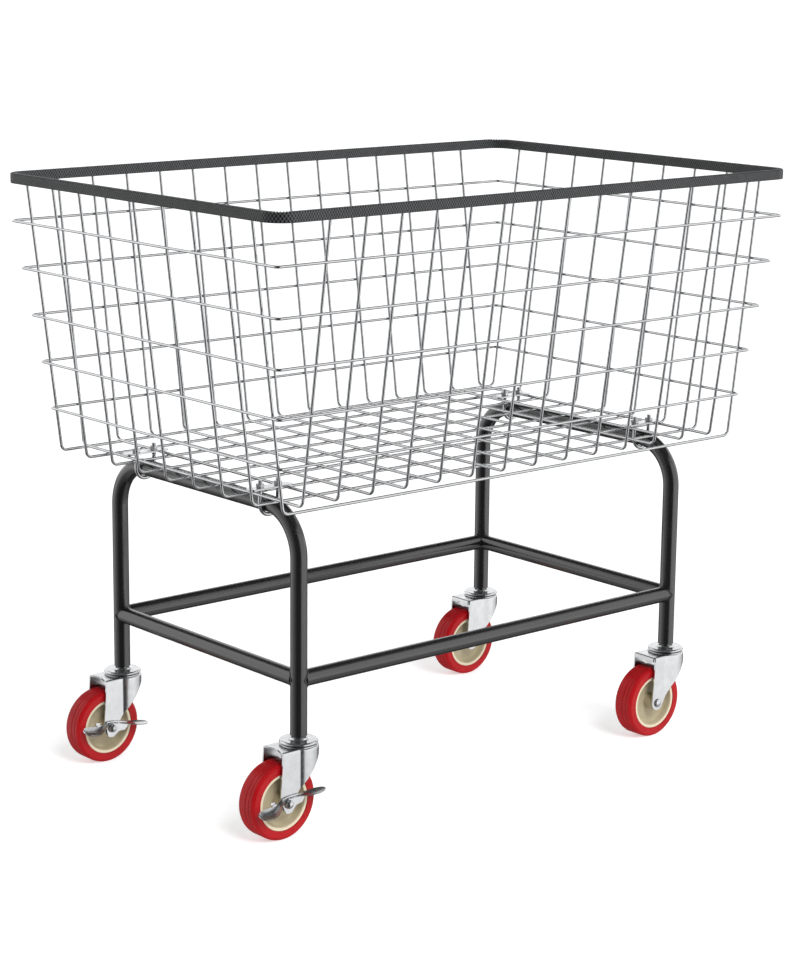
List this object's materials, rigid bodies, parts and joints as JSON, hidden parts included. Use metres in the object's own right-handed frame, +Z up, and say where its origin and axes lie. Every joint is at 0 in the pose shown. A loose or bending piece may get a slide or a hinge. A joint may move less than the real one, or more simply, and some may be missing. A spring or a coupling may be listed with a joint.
{
  "type": "laundry cart",
  "caption": "Tapered wire basket with a trimmed rim, clamped on a welded tube frame that rolls on swivel casters, some with foot brakes.",
  "frame": {"origin": "centre of the cart's footprint, on the floor the wheels stand on", "axes": "+X along the cart's length (the casters trail towards -X), +Y to its back, +Z up"},
  "size_m": [0.902, 0.596, 0.8113],
  "materials": {
    "powder_coat": "black satin powder coat on steel tube",
    "wire": "bright plated steel wire",
    "trim": "black ribbed edge trim",
    "zinc": "bright zinc-plated pressed steel",
    "tyre": "smooth red polyurethane tread",
    "hub": "moulded tan plastic"
  },
  "bodies": {
    "cart": {"long_wire_01": "wire", "long_wire_02": "wire", "long_wire_03": "wire", "long_wire_04": "wire", "long_wire_05": "wire", "long_wire_06": "wire", "long_wire_07": "wire", "long_wire_08": "wire", "long_wire_09": "wire", "short_wire_01": "wire", "short_wire_02": "wire", "short_wire_03": "wire", "short_wire_04": "wire", "short_wire_05": "wire", "short_wire_06": "wire", "short_wire_07": "wire", "short_wire_08": "wire", "short_wire_09": "wire", "short_wire_10": "wire", "short_wire_11": "wire", "short_wire_12": "wire", "short_wire_13": "wire", "short_wire_14": "wire", "ring_wire_1": "wire", "ring_wire_2": "wire", "ring_wire_3": "wire", "ring_wire_4": "wire", "ring_wire_5": "wire", "rim_rod": "wire", "rim_trim": "trim", "left_end_frame": "powder_coat", "right_end_frame": "powder_coat", "front_stretcher": "powder_coat", "back_stretcher": "powder_coat", "u_bolt_front_left": "zinc", "u_bolt_front_right": "zinc", "u_bolt_back_left": "zinc", "u_bolt_back_right": "zinc", "caster_stem_front_left": "zinc", "caster_stem_front_right": "zinc", "caster_stem_back_left": "zinc", "caster_stem_back_right": "zinc"},
    "swivel_front_left": {"caster_fork_front_left": "zinc", "caster_axle_front_left": "zinc"},
    "wheel_front_left": {"caster_tyre_front_left": "tyre", "caster_hub_front_left": "hub"},
    "swivel_front_right": {"caster_fork_front_right": "zinc", "caster_axle_front_right": "zinc"},
    "wheel_front_right": {"caster_tyre_front_right": "tyre", "caster_hub_front_right": "hub"},
    "swivel_back_left": {"caster_fork_back_left": "zinc", "caster_axle_back_left": "zinc"},
    "wheel_back_left": {"caster_tyre_back_left": "tyre", "caster_hub_back_left": "hub"},
    "swivel_back_right": {"caster_fork_back_right": "zinc", "caster_axle_back_right": "zinc"},
    "wheel_back_right": {"caster_tyre_back_right": "tyre", "caster_hub_back_right": "hub"},
    "brake_back_left": {"brake_lever_back_left": "zinc"},
    "brake_front_left": {"brake_lever_front_left": "zinc"}
  },
  "joints": [
    {"name": "swivel_turn_front_left", "type": "hinge", "parent": "cart", "child": "swivel_front_left", "pos_m": [-0.337, -0.197, 0.118], "axis": [0, 0, 1], "continuous": true},
    {"name": "wheel_spin_front_left", "type": "hinge", "parent": "swivel_front_left", "child": "wheel_front_left", "pos_m": [-0.3725, -0.197, 0.0508], "axis": [0, 1, 0], "continuous": true},
    {"name": "swivel_turn_front_right", "type": "hinge", "parent": "cart", "child": "swivel_front_right", "pos_m": [0.337, -0.197, 0.118], "axis": [0, 0, 1], "continuous": true},
    {"name": "wheel_spin_front_right", "type": "hinge", "parent": "swivel_front_right", "child": "wheel_front_right", "pos_m": [0.3015, -0.197, 0.0508], "axis": [0, 1, 0], "continuous": true},
    {"name": "swivel_turn_back_left", "type": "hinge", "parent": "cart", "child": "swivel_back_left", "pos_m": [-0.337, 0.197, 0.118], "axis": [0, 0, 1], "continuous": true},
    {"name": "wheel_spin_back_left", "type": "hinge", "parent": "swivel_back_left", "child": "wheel_back_left", "pos_m": [-0.3725, 0.197, 0.0508], "axis": [0, 1, 0], "continuous": true},
    {"name": "swivel_turn_back_right", "type": "hinge", "parent": "cart", "child": "swivel_back_right", "pos_m": [0.337, 0.197, 0.118], "axis": [0, 0, 1], "continuous": true},
    {"name": "wheel_spin_back_right", "type": "hinge", "parent": "swivel_back_right", "child": "wheel_back_right", "pos_m": [0.3015, 0.197, 0.0508], "axis": [0, 1, 0], "continuous": true},
    {"name": "brake_press_back_left", "type": "hinge", "parent": "swivel_back_left", "child": "brake_back_left", "pos_m": [-0.3725, 0.197, 0.0508], "axis": [0, -1, 0], "range_deg": [0, 10]},
    {"name": "brake_press_front_left", "type": "hinge", "parent": "swivel_front_left", "child": "brake_front_left", "pos_m": [-0.3725, -0.197, 0.0508], "axis": [0, -1, 0], "range_deg": [-10, 0]}
  ]
}
